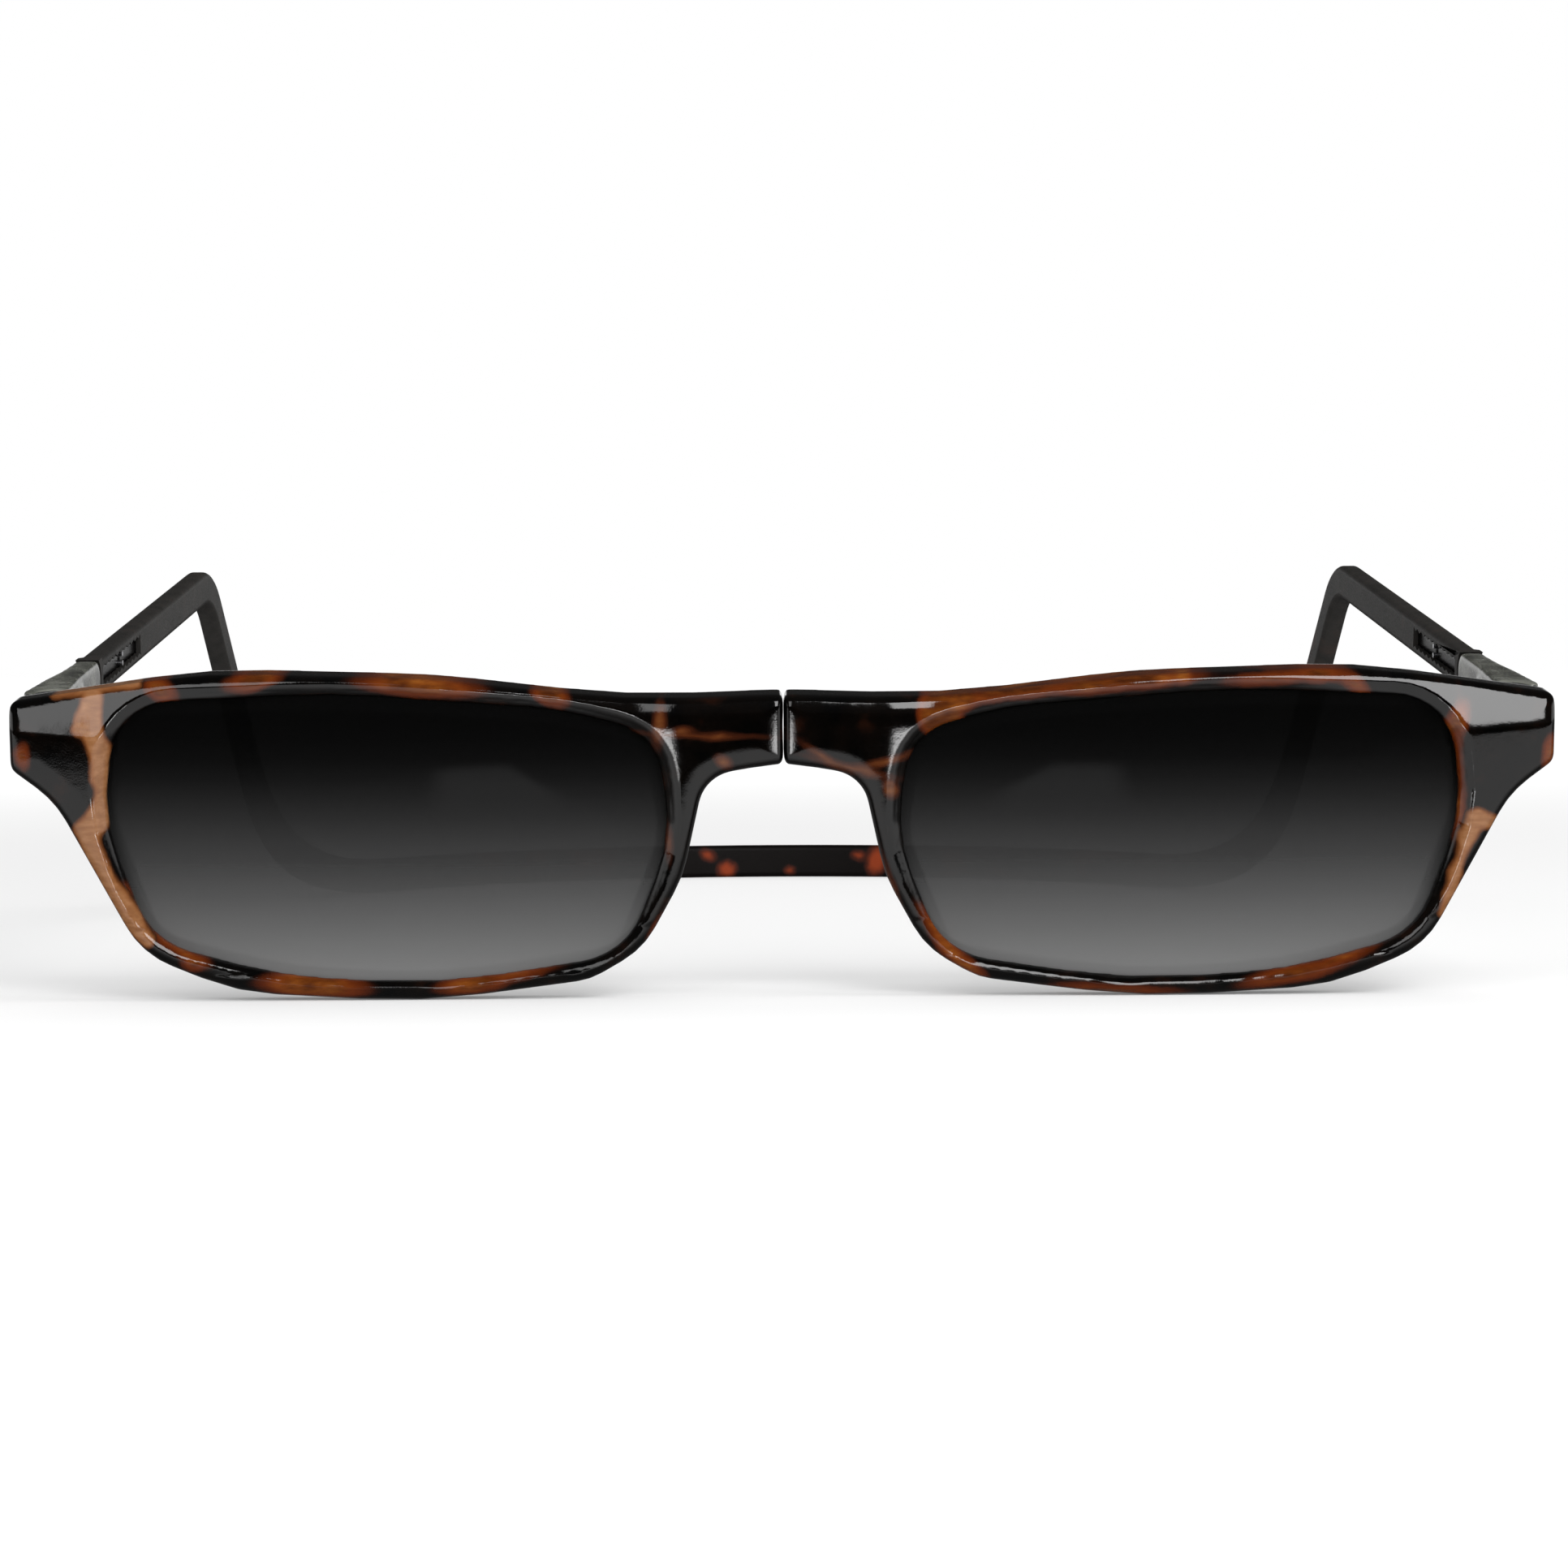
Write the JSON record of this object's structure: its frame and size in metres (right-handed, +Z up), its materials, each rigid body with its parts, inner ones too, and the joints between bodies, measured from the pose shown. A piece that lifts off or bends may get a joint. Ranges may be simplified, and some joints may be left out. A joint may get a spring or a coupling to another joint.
{
  "type": "reading sunglasses",
  "caption": "Reading sunglasses whose front parts at the bridge: tinted lenses in two hinged half fronts, on adjusters that slide in a one-piece headband.",
  "frame": {"origin": "middle of the bounding box's base, on the surface that the glasses stand on", "axes": "+X to the viewer's right, +Y from the front back to the headband, +Z up; the lenses face -Y"},
  "size_m": [0.1372, 0.2016, 0.0397],
  "materials": {
    "tortoiseshell": "polished dark tortoiseshell acetate",
    "smoke_plastic": "smooth translucent grey",
    "tinted_lens": "graduated smoke tint, polished",
    "hinge_steel": "bright stainless",
    "magnet_nickel": "nickel plated"
  },
  "bodies": {
    "headband": {"headband": "tortoiseshell"},
    "left_slider": {"left_adjuster": "smoke_plastic", "left_detent_pins": "hinge_steel", "left_temple_hinge": "hinge_steel"},
    "right_slider": {"right_adjuster": "smoke_plastic", "right_detent_pins": "hinge_steel", "right_temple_hinge": "hinge_steel"},
    "left_half": {"left_front_frame": "tortoiseshell", "left_lens": "tinted_lens", "left_front_hinge": "hinge_steel", "left_hinge_screw": "hinge_steel", "left_magnet": "magnet_nickel"},
    "right_half": {"right_front_frame": "tortoiseshell", "right_lens": "tinted_lens", "right_front_hinge": "hinge_steel", "right_hinge_screw": "hinge_steel", "right_magnet": "magnet_nickel"}
  },
  "joints": [
    {"name": "left_adjust", "type": "slide", "parent": "headband", "child": "left_slider", "axis": [-0.0346, -0.9897, -0.1392], "range_m": [0, 0.01]},
    {"name": "right_adjust", "type": "slide", "parent": "headband", "child": "right_slider", "axis": [0.0346, -0.9897, -0.1392], "range_m": [0, 0.01]},
    {"name": "left_fold", "type": "hinge", "parent": "left_slider", "child": "left_half", "pos_m": [-0.0652, -0.09326, 0.02506], "axis": [0, -0.1392, 0.9903], "range_deg": [0, 88]},
    {"name": "right_fold", "type": "hinge", "parent": "right_slider", "child": "right_half", "pos_m": [0.0652, -0.09326, 0.02506], "axis": [0, -0.1392, 0.9903], "range_deg": [-88, 0]}
  ]
}
